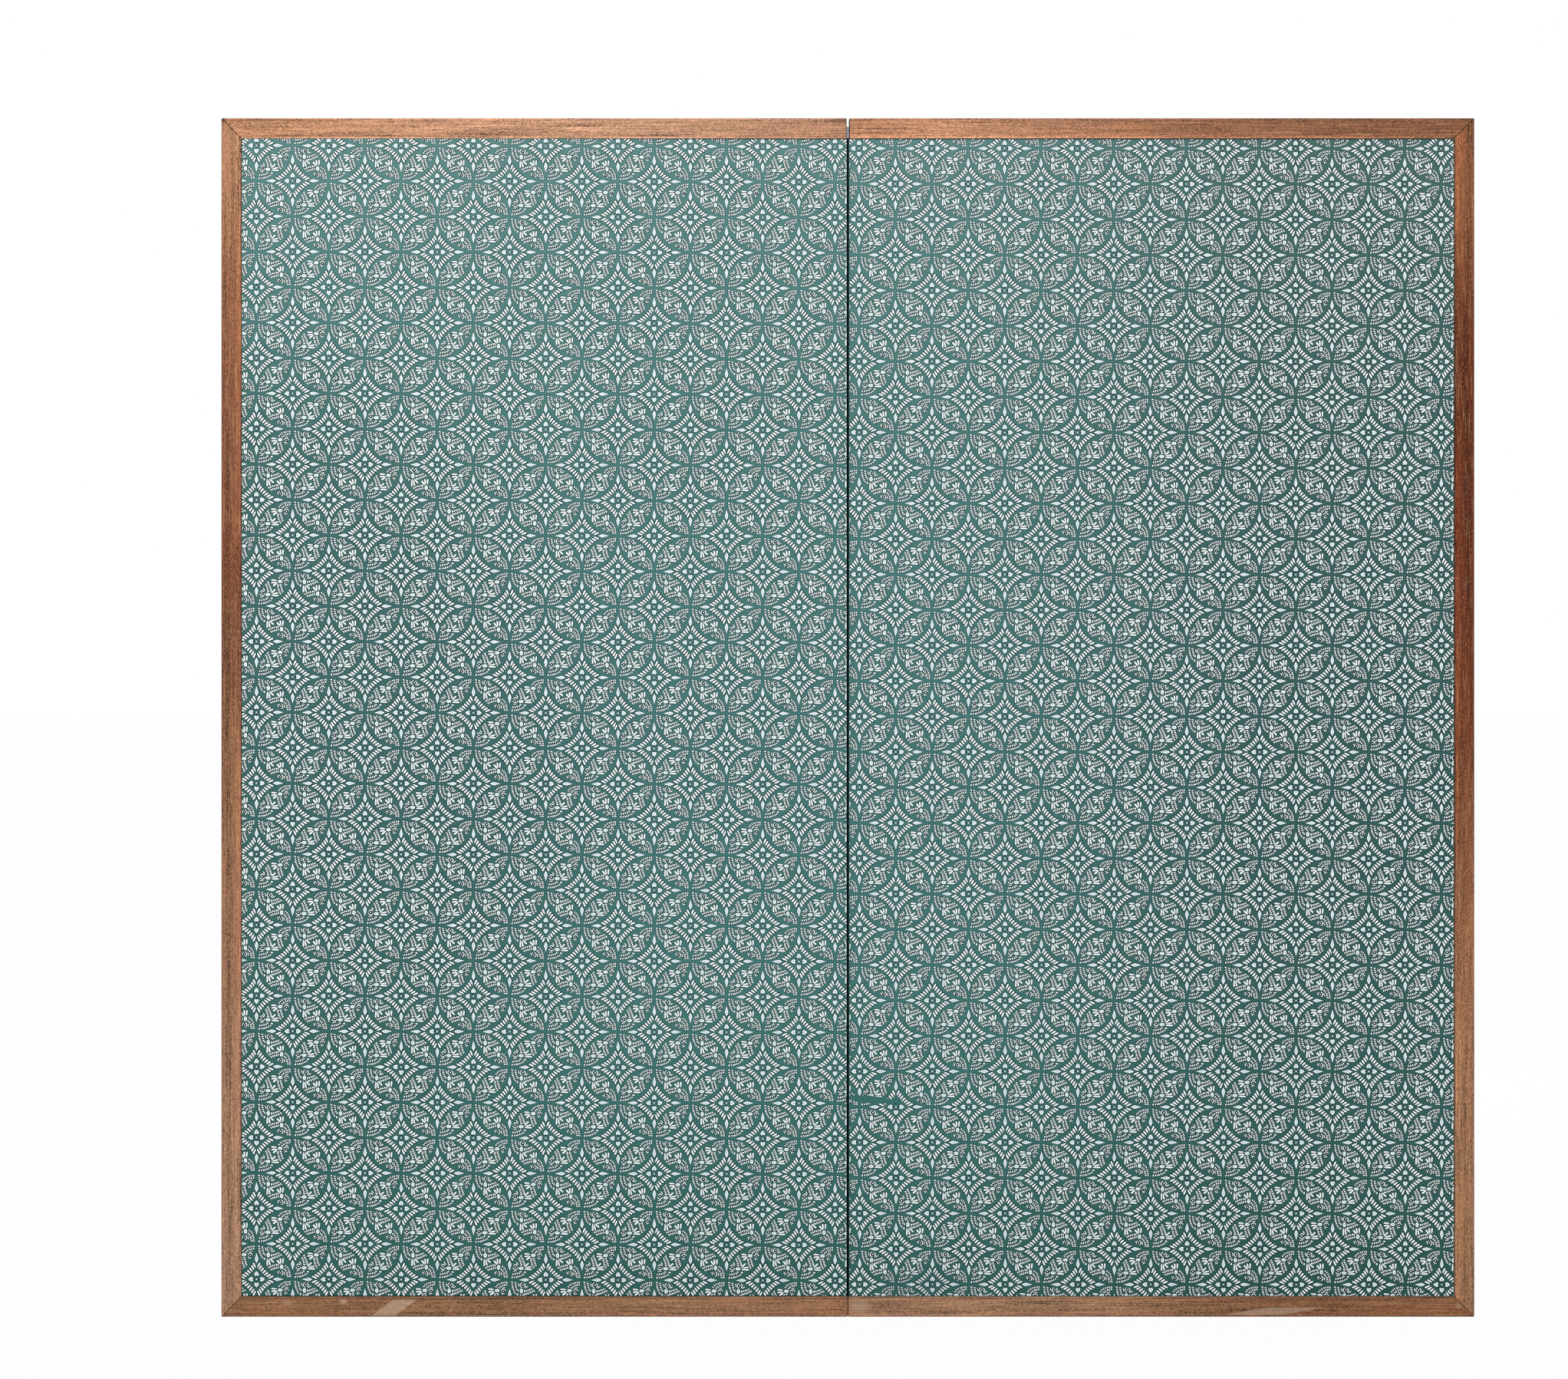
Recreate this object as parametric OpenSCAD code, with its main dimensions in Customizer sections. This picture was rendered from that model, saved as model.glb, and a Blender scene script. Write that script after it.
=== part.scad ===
// Two-panel folding screen, opened flat, with its patterned back towards -Y.
// Each panel is a half-lapped lattice between stiles and rails, lined with paper on both
// faces, with a mitred frame on the top, the bottom and the outer side. Paper strips cross
// the gap by turns from the front of one panel to the back of the other, so that the screen
// folds both ways. The gap's middle is x = 0, the floor is z = 0, and sizes are millimetres.

/* [Screen] */
// Height of a panel with its frame
panel_h = 1730; // [1500:10:1900]
// Width of a panel with its frame
panel_w = 903; // [750:1:1000]
// Gap between the two panels
hinge_gap = 3; // [2.5:0.5:6]

/* [Frame] */
// Width of a frame member's face
frame_face = 29; // [22:1:40]
// How far the frame stands proud of the papers on each face
frame_proud = 1.5; // [1:0.25:3]
// Rounding of the frame's outer edges
frame_round = 1.6; // [1:0.2:3]
// Width of the bead along the frame's inner edge
bead_w = 3.2; // [2.4:0.2:5]
// Rounding of the bead
bead_round = 0.9; // [0.6:0.1:1.2]
// Depth of the fine groove beside the bead
quirk_d = 0.45; // [0.3:0.05:0.8]
// Open joint between the mitred ends
mitre_gap = 0.4; // [0.2:0.1:1]
// How far the top rails stop short of the hinge edge
rail_setback = 0.2; // [0.2:0.1:2]
// Gap between the ends of the two bottom rails
foot_gap = 0.4; // [0.4:0.1:2]
// Rounding of the rails' outer corners at the hinge
rail_end_round = 2; // [1:0.5:4]
// Thickness of the key let into each mitre
key_t = 3; // [2:0.5:5]
// Width of a key's arm on each side of its mitre
key_w = 8; // [5:1:12]
// How far a key stops short of the outer side of the frame
key_end = 0; // [0:0.5:6]

/* [Lattice] */
// Thickness of the lattice and of its stiles and rails
core_t = 15.8; // [12:0.2:22]
// Width of a lattice stile
stile_w = 36; // [26:1:50]
// Width of a lattice rail
rail_w = 36; // [26:1:50]
// Width of a lattice bar
bar_w = 12; // [8:1:18]
// Aimed distance from one lattice bar to the next
bar_pitch = 105; // [80:5:140]
// Length of a tenon
tenon_l = 14; // [8:1:20]
// Thickness of a tenon
tenon_t = 5; // [4:0.5:6]
// Shoulder above and below a rail's tenon
rail_shoulder = 7; // [4:1:9]
// Clearance round a tenon and beside a lap
joint_clear = 0.1; // [0.05:0.05:0.2]

/* [Papers] */
// Thickness of the lining papers on one face
lining_t = 0.6; // [0.4:0.1:1]
// Thickness of the finishing paper
finish_t = 0.5; // [0.3:0.1:0.8]
// Thickness of the paper over a panel's hinge edge
edge_t = 0.5; // [0.3:0.1:0.8]
// Width of that paper's turn-over on the right panel's back
turnover_w = 3.6; // [2:0.2:8]
// Width of the cloth border on the front
border_w = 32; // [20:1:60]
// Least play between a finishing paper and the frame
paper_clear = 0.3; // [0.2:0.1:0.6]

/* [Hinges] */
// Number of paper strips across the gap
strip_count = 6; // [4:2:6]
// Space between one strip and the next
strip_space = 3; // [2:1:10]
// Thickness of a strip
strip_t = 0.4; // [0.3:0.1:0.6]
// Clearance between a strip and the panel's edge
strip_clear = 0.3; // [0.2:0.05:0.5]
// Width of the pasted flap of a strip
flap_w = 34; // [24:1:60]
// Play between the frames of the folded screen, on each side of the fold's axis
fold_clear = 0.15; // [0.15:0.05:0.5]

/* [Hidden] */
$fn = 48;
FAR = 1;

panel_t = core_t + 2 * (lining_t + finish_t);
frame_d = panel_t + 2 * frame_proud;
axis_y = frame_d / 2 + fold_clear;

// Places along X on the right panel, from the hinge outwards
edge_x = hinge_gap / 2;
core_x = edge_x + edge_t;
outer_x = edge_x + panel_w;
inner_x = outer_x - frame_face;

// What an open mitre takes off each member, measured along its outer side
mitre_cut = mitre_gap / sqrt(2);

// Places along Z inside the frame
low_z = frame_face;
high_z = panel_h - frame_face;

// The lattice's clear field and its bars
field_x = core_x + stile_w;
field_w = inner_x - stile_w - field_x;
field_z = low_z + rail_w;
field_h = high_z - rail_w - field_z;
bars_across = round(field_w / bar_pitch) - 1;
bars_up = round(field_h / bar_pitch) - 1;
function upright_x(i) = field_x + field_w * i / (bars_across + 1);
function level_z(i) = field_z + field_h * i / (bars_up + 1);

// The hinge strips, from the lowest up; an even one runs from the left panel's front
strip_pitch = (high_z - low_z) / strip_count;
strip_h = strip_pitch - strip_space;
function strip_z(i) = low_z + strip_pitch * i + strip_space / 2;
function from_left_front(i) = i % 2 == 0;

module frame_wood() { color("#a8744f") children(); }
module core_wood() { color("#d9b98a") children(); }
module lining_paper() { color("#e8e0cf") children(); }
module printed_paper() { color("#4f8073") children(); }
module front_ground() { color("#e6dcc4") children(); }
module border_cloth() { color("#7b6a46") children(); }

// Everything is drawn for the right panel, and mirrored for the left one
module on_panel(side) {
    if (side == "right") children();
    else mirror([1, 0, 0]) children();
}

// A plain bar of the lattice's thickness between two corners seen from the back
module bar(x0, z0, x1, z1, thick = core_t) {
    translate([x0, -thick / 2, z0]) cube([x1 - x0, thick, z1 - z0]);
}

// A thin layer on one face: face is 1 for the front and -1 for the back
module layer(face, depth, thick, x0, z0, x1, z1) {
    y0 = face > 0 ? core_t / 2 + depth : -core_t / 2 - depth - thick;
    translate([x0, y0, z0]) cube([x1 - x0, thick, z1 - z0]);
}

// Frame ---------------------------------------------------------------------

// Section of a frame member: x runs from its outer side to its inner side
module frame_section() {
    difference() {
        union() {
            translate([frame_round, -frame_d / 2])
                square([frame_face - frame_round - bead_round, frame_d]);
            translate([0, -frame_d / 2 + frame_round])
                square([frame_face / 2, frame_d - 2 * frame_round]);
            translate([frame_face / 2, -frame_d / 2 + bead_round])
                square([frame_face / 2, frame_d - 2 * bead_round]);
            for (y = [-1, 1]) {
                translate([frame_round, y * (frame_d / 2 - frame_round)]) circle(frame_round);
                translate([frame_face - bead_round, y * (frame_d / 2 - bead_round)])
                    circle(bead_round);
            }
        }
        for (y = [-1, 1])
            translate([frame_face - bead_w, y * frame_d / 2]) circle(quirk_d);
    }
}

// Keeps what lies inside an outline drawn as the back is seen: x across, z up
module trimmed(outline) {
    intersection() {
        children();
        translate([0, frame_d, 0]) rotate([90, 0, 0])
            linear_extrude(height = 2 * frame_d) polygon(outline);
    }
}

// The top mitre's key as the back is seen: start is how far its inner end lies from the corner
module key_shape(start, clear) {
    far = frame_face - key_end + clear;
    arm = key_w + clear;
    translate([inner_x, key_t / 2 + clear, high_z]) rotate([90, 0, 0])
        linear_extrude(height = key_t + 2 * clear)
            polygon([
                [start, start], [start + arm, start], [far, far - arm],
                [far, far], [far - arm, far], [start, start + arm]
            ]);
}

// The same for the bottom mitre
module turned_over(way) {
    if (way > 0) children();
    else translate([0, 0, panel_h]) mirror([0, 0, 1]) children();
}

module mitre_key(side, way) {
    frame_wood() on_panel(side) turned_over(way) key_shape(joint_clear, 0);
}

module frame_side(side) {
    frame_wood() on_panel(side) difference() {
        trimmed([
            [outer_x, mitre_cut], [outer_x, panel_h - mitre_cut],
            [inner_x, high_z - mitre_cut], [inner_x, low_z + mitre_cut]
        ])
            translate([outer_x, 0, 0]) mirror([1, 0, 0])
                linear_extrude(height = panel_h) frame_section();
        for (way = [-1, 1]) turned_over(way) key_shape(-FAR, joint_clear);
    }
}

// A top rail from start_x, with its outer side up; a bottom one is the same, turned over
module frame_rail_shape(start_x) {
    difference() {
        trimmed([
            [start_x, panel_h], [outer_x - mitre_cut, panel_h],
            [inner_x - mitre_cut, high_z], [start_x, high_z]
        ])
            translate([start_x, 0, panel_h]) rotate([0, 90, 0])
                linear_extrude(height = outer_x - start_x) frame_section();
        rail_corner(start_x, panel_h);
        key_shape(-FAR, joint_clear);
    }
}

// What is taken off to round the rail's outer corner at the hinge
module rail_corner(x, z) {
    translate([x, frame_d, z]) rotate([90, 0, 0]) linear_extrude(height = 2 * frame_d)
        difference() {
            translate([-FAR, -rail_end_round]) square([rail_end_round + FAR, rail_end_round + FAR]);
            translate([rail_end_round, -rail_end_round]) circle(rail_end_round);
        }
}

module frame_top(side) { frame_wood() on_panel(side) frame_rail_shape(edge_x + rail_setback); }

module frame_bottom(side) {
    frame_wood() on_panel(side) turned_over(-1) frame_rail_shape(foot_gap / 2);
}

// Lattice -------------------------------------------------------------------

// Mortises for the rails and the level bars, cut into a stile's inner side at x
module stile_mortises(x, way) {
    reach = tenon_l + joint_clear;
    x0 = way > 0 ? x - FAR : x - reach;
    x1 = way > 0 ? x + reach : x + FAR;
    wide = tenon_t + 2 * joint_clear;
    for (z = [low_z, high_z - rail_w])
        bar(x0, z + rail_shoulder - joint_clear, x1, z + rail_w - rail_shoulder + joint_clear, wide);
    for (i = [1 : bars_up])
        bar(x0, level_z(i) - bar_w / 2 - joint_clear, x1, level_z(i) + bar_w / 2 + joint_clear, wide);
}

module core_hinge_stile(side) {
    core_wood() on_panel(side) difference() {
        bar(core_x, low_z, field_x, high_z);
        stile_mortises(field_x, -1);
    }
}

module core_outer_stile(side) {
    core_wood() on_panel(side) difference() {
        bar(field_x + field_w, low_z, inner_x, high_z);
        stile_mortises(field_x + field_w, 1);
    }
}

// A lattice rail with a tenon at each end, mortised for the upright bars on its inner side
module core_rail(side, z, inner_z, way) {
    reach = tenon_l + joint_clear;
    z0 = way > 0 ? inner_z - reach : inner_z - FAR;
    z1 = way > 0 ? inner_z + FAR : inner_z + reach;
    core_wood() on_panel(side) difference() {
        union() {
            bar(field_x, z, field_x + field_w, z + rail_w);
            bar(field_x - tenon_l, z + rail_shoulder, field_x + field_w + tenon_l,
                z + rail_w - rail_shoulder, tenon_t);
        }
        for (i = [1 : bars_across])
            bar(upright_x(i) - bar_w / 2 - joint_clear, z0, upright_x(i) + bar_w / 2 + joint_clear,
                z1, tenon_t + 2 * joint_clear);
    }
}

module core_bottom_rail(side) { core_rail(side, low_z, field_z, 1); }
module core_top_rail(side) { core_rail(side, high_z - rail_w, field_z + field_h, -1); }

// The upright bars lose their front half where a level bar crosses them
module core_uprights(side) {
    core_wood() on_panel(side) difference() {
        for (i = [1 : bars_across]) {
            x = upright_x(i);
            bar(x - bar_w / 2, field_z, x + bar_w / 2, field_z + field_h);
            bar(x - bar_w / 2, field_z - tenon_l, x + bar_w / 2, field_z + field_h + tenon_l, tenon_t);
        }
        for (i = [1 : bars_up])
            translate([field_x, 0, level_z(i) - bar_w / 2 - joint_clear])
                cube([field_w, core_t / 2 + FAR, bar_w + 2 * joint_clear]);
    }
}

// The level bars lose their back half where an upright bar crosses them
module core_levels(side) {
    core_wood() on_panel(side) difference() {
        for (i = [1 : bars_up]) {
            z = level_z(i);
            bar(field_x, z - bar_w / 2, field_x + field_w, z + bar_w / 2);
            bar(field_x - tenon_l, z - bar_w / 2, field_x + field_w + tenon_l, z + bar_w / 2, tenon_t);
        }
        for (i = [1 : bars_across])
            translate([upright_x(i) - bar_w / 2 - joint_clear, -core_t / 2 - FAR, field_z])
                cube([bar_w + 2 * joint_clear, core_t / 2 + FAR, field_h]);
    }
}

// Papers --------------------------------------------------------------------

// Whether a strip's flap lies on this face of this panel
function flap_here(side, face, i) =
    (side == "left") == (from_left_front(i) == (face > 0));

// The lining is cut out where the hinge flaps are let in flush with it
module lining(side, face) {
    lining_paper() on_panel(side) difference() {
        layer(face, 0, lining_t, core_x, low_z, inner_x, high_z);
        for (i = [0 : strip_count - 1])
            if (flap_here(side, face, i))
                layer(face, -FAR, lining_t + 2 * FAR, core_x - FAR, strip_z(i),
                      core_x + flap_w, strip_z(i) + strip_h);
    }
}

module flap(side, i) {
    face = (side == "left") == from_left_front(i) ? 1 : -1;
    lining_paper() on_panel(side)
        layer(face, 0, lining_t, core_x, strip_z(i), core_x + flap_w, strip_z(i) + strip_h);
}

// The paper over the hinge edge; on the right panel it turns over on to the back
module edge_paper(side) {
    printed_paper() on_panel(side) {
        translate([edge_x, -panel_t / 2, low_z]) cube([edge_t, panel_t, high_z - low_z]);
        if (side == "right")
            layer(-1, lining_t, finish_t, edge_x, low_z, edge_x + turnover_w, high_z);
    }
}

module back_paper(side) {
    start_x = side == "right" ? edge_x + turnover_w : core_x;
    printed_paper() on_panel(side)
        layer(-1, lining_t, finish_t, start_x, low_z + paper_clear,
              inner_x - paper_clear, high_z - paper_clear);
}

// The front paper fills the field inside the cloth border
module front_paper(side) {
    front_ground() on_panel(side)
        layer(1, lining_t, finish_t, core_x, low_z + border_w, inner_x - border_w, high_z - border_w);
}

module border_side(side) {
    border_cloth() on_panel(side)
        layer(1, lining_t, finish_t, inner_x - border_w, low_z + border_w,
              inner_x - paper_clear, high_z - border_w);
}

module border_bottom(side) {
    border_cloth() on_panel(side)
        layer(1, lining_t, finish_t, core_x, low_z + paper_clear,
              inner_x - paper_clear, low_z + border_w);
}

module border_top(side) {
    border_cloth() on_panel(side)
        layer(1, lining_t, finish_t, core_x, high_z - border_w,
              inner_x - paper_clear, high_z - paper_clear);
}

// Hinge strips --------------------------------------------------------------

// A strip slants across the gap from one panel's front corner to the other's back corner
module hinge_strip(i) {
    half_x = edge_x - strip_clear - strip_t / 2;
    half_y = panel_t / 2 - strip_t;
    lean = atan2(half_x, half_y) * (from_left_front(i) ? 1 : -1);
    long = 2 * sqrt(half_x * half_x + half_y * half_y);
    printed_paper()
        translate([0, 0, strip_z(i)]) rotate([0, 0, lean])
            translate([-strip_t / 2, -long / 2, 0]) cube([strip_t, long, strip_h]);
}

frame_top("left");  // left_frame_top
frame_bottom("left");  // left_frame_bottom
frame_side("left");  // left_frame_side
mitre_key("left", 1);  // left_key_top
mitre_key("left", -1);  // left_key_bottom
core_hinge_stile("left");  // left_core_hinge_stile
core_outer_stile("left");  // left_core_outer_stile
core_top_rail("left");  // left_core_top_rail
core_bottom_rail("left");  // left_core_bottom_rail
core_uprights("left");  // left_core_uprights
core_levels("left");  // left_core_levels
lining("left", -1);  // left_back_lining
lining("left", 1);  // left_front_lining
edge_paper("left");  // left_edge_paper
back_paper("left");  // left_back_paper
front_paper("left");  // left_front_paper
border_top("left");  // left_border_top
border_bottom("left");  // left_border_bottom
border_side("left");  // left_border_side
frame_top("right");  // right_frame_top
frame_bottom("right");  // right_frame_bottom
frame_side("right");  // right_frame_side
mitre_key("right", 1);  // right_key_top
mitre_key("right", -1);  // right_key_bottom
core_hinge_stile("right");  // right_core_hinge_stile
core_outer_stile("right");  // right_core_outer_stile
core_top_rail("right");  // right_core_top_rail
core_bottom_rail("right");  // right_core_bottom_rail
core_uprights("right");  // right_core_uprights
core_levels("right");  // right_core_levels
lining("right", -1);  // right_back_lining
lining("right", 1);  // right_front_lining
edge_paper("right");  // right_edge_paper
back_paper("right");  // right_back_paper
front_paper("right");  // right_front_paper
border_top("right");  // right_border_top
border_bottom("right");  // right_border_bottom
border_side("right");  // right_border_side
flap("left", 0);  // left_flap_1
flap("left", 1);  // left_flap_2
flap("left", 2);  // left_flap_3
flap("left", 3);  // left_flap_4
flap("left", 4);  // left_flap_5
flap("left", 5);  // left_flap_6
flap("right", 0);  // right_flap_1
flap("right", 1);  // right_flap_2
flap("right", 2);  // right_flap_3
flap("right", 3);  // right_flap_4
flap("right", 4);  // right_flap_5
flap("right", 5);  // right_flap_6
hinge_strip(0);  // hinge_strip_1
hinge_strip(1);  // hinge_strip_2
hinge_strip(2);  // hinge_strip_3
hinge_strip(3);  // hinge_strip_4
hinge_strip(4);  // hinge_strip_5
hinge_strip(5);  // hinge_strip_6
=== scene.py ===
import math

import bpy
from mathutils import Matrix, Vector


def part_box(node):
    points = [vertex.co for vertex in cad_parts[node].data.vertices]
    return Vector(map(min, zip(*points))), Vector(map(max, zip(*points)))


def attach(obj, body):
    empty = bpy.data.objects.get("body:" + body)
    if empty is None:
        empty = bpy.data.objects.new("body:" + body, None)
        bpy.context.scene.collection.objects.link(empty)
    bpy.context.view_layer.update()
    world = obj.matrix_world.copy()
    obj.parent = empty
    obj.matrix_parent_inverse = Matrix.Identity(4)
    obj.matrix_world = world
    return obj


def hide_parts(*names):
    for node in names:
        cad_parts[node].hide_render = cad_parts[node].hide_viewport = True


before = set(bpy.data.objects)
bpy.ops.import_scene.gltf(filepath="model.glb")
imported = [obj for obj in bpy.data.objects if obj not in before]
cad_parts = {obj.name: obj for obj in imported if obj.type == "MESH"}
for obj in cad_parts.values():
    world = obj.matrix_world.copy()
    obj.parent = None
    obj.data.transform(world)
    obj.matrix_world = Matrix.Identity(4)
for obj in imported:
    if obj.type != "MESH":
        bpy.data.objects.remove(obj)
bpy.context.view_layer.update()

viewing = {
    "spot": (-0.0922, -6.0, 0.9054),   # square on, level with the middle of the picture
    "toFace": 5.9895,                # from there to the face of the frame
    "acrossView": 2.2636,            # metres seen across the picture at that face
    "filmWidth": 36.0,
}
camera = bpy.data.cameras.new("screenCamera")
camera.sensor_width = viewing["filmWidth"]
camera.lens = viewing["filmWidth"] * viewing["toFace"] / viewing["acrossView"]
cameraStand = bpy.data.objects.new("screenCamera", camera)
cameraStand.location = viewing["spot"]
cameraStand.rotation_euler = (math.pi / 2, 0, 0)
bpy.context.scene.collection.objects.link(cameraStand)
bpy.context.scene.camera = cameraStand
bpy.context.scene.view_settings.view_transform = "Standard"

lamps = {
    "keyLamp": {"spot": (-2.6, -3.4, 3.3), "size": 2.2, "power": 62},    # upper left, in front
    "sideLamp": {"spot": (3.4, -3.6, 1.6), "size": 2.6, "power": 16},
    "farLamp": {"spot": (0.8, 4.2, 2.6), "size": 3.0, "power": 60},      # for the other face
}


def hangLamp(name, lamp):
    light = bpy.data.lights.new(name, "AREA")
    light.shape = "DISK"
    light.size = lamp["size"]
    light.energy = lamp["power"]
    holder = bpy.data.objects.new(name, light)
    holder.location = lamp["spot"]
    aim = holder.location.copy()
    aim.z -= 0.85
    holder.rotation_mode = "QUATERNION"
    holder.rotation_quaternion = aim.to_track_quat("Z", "Y")
    bpy.context.scene.collection.objects.link(holder)


for lampName, lamp in lamps.items():
    hangLamp(lampName, lamp)
print("camera and lamps set")


def linear(level):
    level = level / 255
    return level / 12.92 if level <= 0.04045 else ((level + 0.055) / 1.055) ** 2.4


def paint(red, green, blue):   # a colour as the eye reads it, 0 to 255
    return (linear(red), linear(green), linear(blue), 1.0)


class Reading:   # a value inside a material, which adds Math nodes when it is reckoned with
    def __init__(self, finish, socket):
        self.finish = finish
        self.socket = socket

    def maths(self, operation, first, second):
        return self.finish.node("Math", {"operation": operation}, {0: first, 1: second})

    def __add__(self, other):
        return self.maths("ADD", self, other)

    def __sub__(self, other):
        return self.maths("SUBTRACT", self, other)

    def __rsub__(self, other):
        return self.maths("SUBTRACT", other, self)

    def __mul__(self, other):
        return self.maths("MULTIPLY", self, other)

    def __truediv__(self, other):
        return self.maths("DIVIDE", self, other)

    def __abs__(self):
        return self.maths("ABSOLUTE", self, 0.0)

    __radd__ = __add__
    __rmul__ = __mul__


class Finish:   # a material while it is put together
    def __init__(self, name, **fixed):
        self.material = bpy.data.materials.new(name)
        self.material.use_nodes = True
        self.tree = self.material.node_tree
        self.shader = self.tree.nodes["Principled BSDF"]
        for socket, value in fixed.items():
            self.shader.inputs[socket.replace("_", " ")].default_value = value

    def node(self, kind, settings=None, sockets=None, out=0):
        made = self.tree.nodes.new("ShaderNode" + kind)
        for key, value in (settings or {}).items():
            if key == "stops":
                self.setStops(made.color_ramp.elements, value)
            else:
                setattr(made, key, value)
        for key, value in (sockets or {}).items():
            self.feed(made.inputs[key], value)
        return Reading(self, made.outputs[out])

    def setStops(self, elements, stops):
        while len(elements) < len(stops):
            elements.new(1.0)
        for element, (spot, colour) in zip(elements, stops):
            element.position = spot
            element.color = colour

    def feed(self, target, value):
        if isinstance(value, Reading):
            self.tree.links.new(value.socket, target)
        else:
            target.default_value = value

    def set(self, **sockets):
        for socket, value in sockets.items():
            self.feed(self.shader.inputs[socket.replace("_", " ")], value)
        return self.material

    def place(self):
        return self.node("TexCoord", out="Object")

    def axis(self, place, letter):
        return self.node("SeparateXYZ", sockets={0: place}, out="xyz".index(letter))

    def noise(self, place, stretch, detail=2.0, roughness=0.5, shift=(0, 0, 0)):
        moved = self.node("Mapping", sockets={"Vector": place, "Scale": stretch, "Location": shift})
        return self.node("TexNoise", sockets={"Vector": moved, "Scale": 1.0, "Detail": detail,
                                              "Roughness": roughness})

    def step(self, value, low, high):   # 0 below low, 1 above high, smooth between
        return self.node("MapRange", {"interpolation_type": "SMOOTHSTEP"},
                         {"Value": value, "From Min": low, "From Max": high})

    def ramp(self, value, stops):
        return self.node("ValToRGB", {"stops": stops}, {0: value})

    def mix(self, share, first, second):
        return self.node("Mix", {"data_type": "RGBA"}, {0: share, 6: first, 7: second}, out=2)

    def shade(self, colour, amount):
        colour = colour if isinstance(colour, Reading) else colour[:3]
        return self.node("VectorMath", {"operation": "SCALE"}, {0: colour, "Scale": amount})

    def bump(self, height, strength, depth):
        return self.node("Bump", sockets={"Height": height, "Strength": strength, "Distance": depth})

    def patch(self, place, spot, reach, core=0.55, rough=None):   # 1 at spot, 0 at reach, seen from the back
        away = self.node("Mapping", {"vector_type": "POINT"},
                         {"Vector": place,
                          "Location": (-spot[0] / reach[0], 0, -spot[1] / reach[1]),
                          "Scale": (1 / reach[0], 0, 1 / reach[1])})
        length = self.node("VectorMath", {"operation": "LENGTH"}, {0: away}, out=1)
        if rough is not None:
            length = length + rough
        return 1 - self.step(length, core, 1.0)


def wear(nodeName, material):   # gives a CAD node its finish
    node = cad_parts[nodeName]
    if not node.material_slots:
        node.data.materials.append(material)
    for holder in node.material_slots:
        holder.material = material


screenSize = {   # the frame's face as the solids have it, in metres
    "halfWide": 0.9045, "tall": 1.7300, "midHeight": 0.865,
    "innerHalf": 0.8755,      # from the hinge to a stile's inner side
    "innerRise": 0.836,       # from the middle of the height to a rail's inner side
    "paperFoot": 0.029, "paperTop": 1.701,
}

frameMembers = {   # colours as they lie along each member: place in metres, then the tone
    "left_frame_top": {"run": "x", "tones": [
        (-0.90, (202, 143, 106)), (-0.66, (215, 158, 123)), (-0.30, (212, 160, 128)),
        (-0.02, (195, 143, 112))]},
    "right_frame_top": {"run": "x", "tones": [
        (0.0, (205, 145, 109)), (0.14, (212, 152, 117)), (0.28, (195, 138, 106)), (0.43, (176, 120, 88)),
        (0.60, (156, 105, 76)), (0.90, (145, 95, 67))]},
    "left_frame_bottom": {"run": "x", "tones": [
        (-0.90, (152, 107, 75)), (-0.50, (156, 113, 81)), (-0.15, (167, 123, 92)), (-0.0, (160, 114, 83))]},
    "right_frame_bottom": {"run": "x", "tones": [
        (0.0, (173, 131, 101)), (0.33, (170, 128, 98)), (0.45, (162, 118, 87)), (0.62, (147, 100, 69)),
        (0.90, (147, 98, 67))]},
    "left_frame_side": {"run": "z", "tones": [
        (0.03, (173, 131, 105)), (0.30, (165, 122, 95)), (0.83, (151, 102, 72)), (1.08, (130, 76, 50)),
        (1.38, (150, 94, 65)), (1.52, (162, 107, 75)), (1.60, (176, 123, 90)), (1.66, (190, 136, 102))]},
    "right_frame_side": {"run": "z", "tones": [
        (0.03, (166, 119, 86)), (0.30, (173, 124, 90)), (0.56, (156, 103, 71)), (0.83, (121, 62, 33)),
        (1.08, (106, 47, 22)), (1.38, (103, 44, 18)), (1.66, (156, 96, 61))]},
}

woodLook = {
    "level": 0.92,        # the flecks lighten the wood, so the ground under them is darker
    "fibre": {"x": 1.20, "z": 0.95},      # strength of the long fine lines, in rails and in stiles
    "figure": {"x": 0.50, "z": 0.90},     # strength of the broad bands
    "speckle": 1.20,      # strength of the short bright and dark specks
    "fleck": (226, 179, 134),
    "worn": (222, 192, 166),
    "streak": (96, 46, 27),
    "stain": (74, 38, 34),
    "inner": (1.10, 0.0095, 0.0125),   # the paler inner side of a stile, and where it ends
    "rim": (0.72, 0.0274, 0.0286),     # painted shade along the rounded outer edge: its lightness, where that starts and where it is full
    "seam": (0.0004, 0.0012),          # half width of the painted shade in a mitre's narrow gap, and where it ends
    "cornerStain": 0.012,
    "topEndShade": (0.93, 0.0026, 0.0034),  # painted shade on the rails' ends by the hinge gap: how dark, from where to where
    "footEndShade": (0.94, 0.0006, 0.0009),
    "leftEase": 0.6,      # the left top rail's end is less dark
    "handled": {"spot": (-0.009, 1.729), "reach": (0.030, 0.012), "share": 0.55, "tone": (112, 70, 58)},
    "streakShare": 0.30, "fleckShare": 0.34, "threadShare": 0.26, "poreDark": 0.26,
    "seamShade": 0.72, "stainShare": 0.8,
    "markEdge": (1.20, 1.40),       # where a slanting mark runs out
    "backOnly": (-0.006, 0.002),    # worn places lie on the back alone
}

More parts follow.
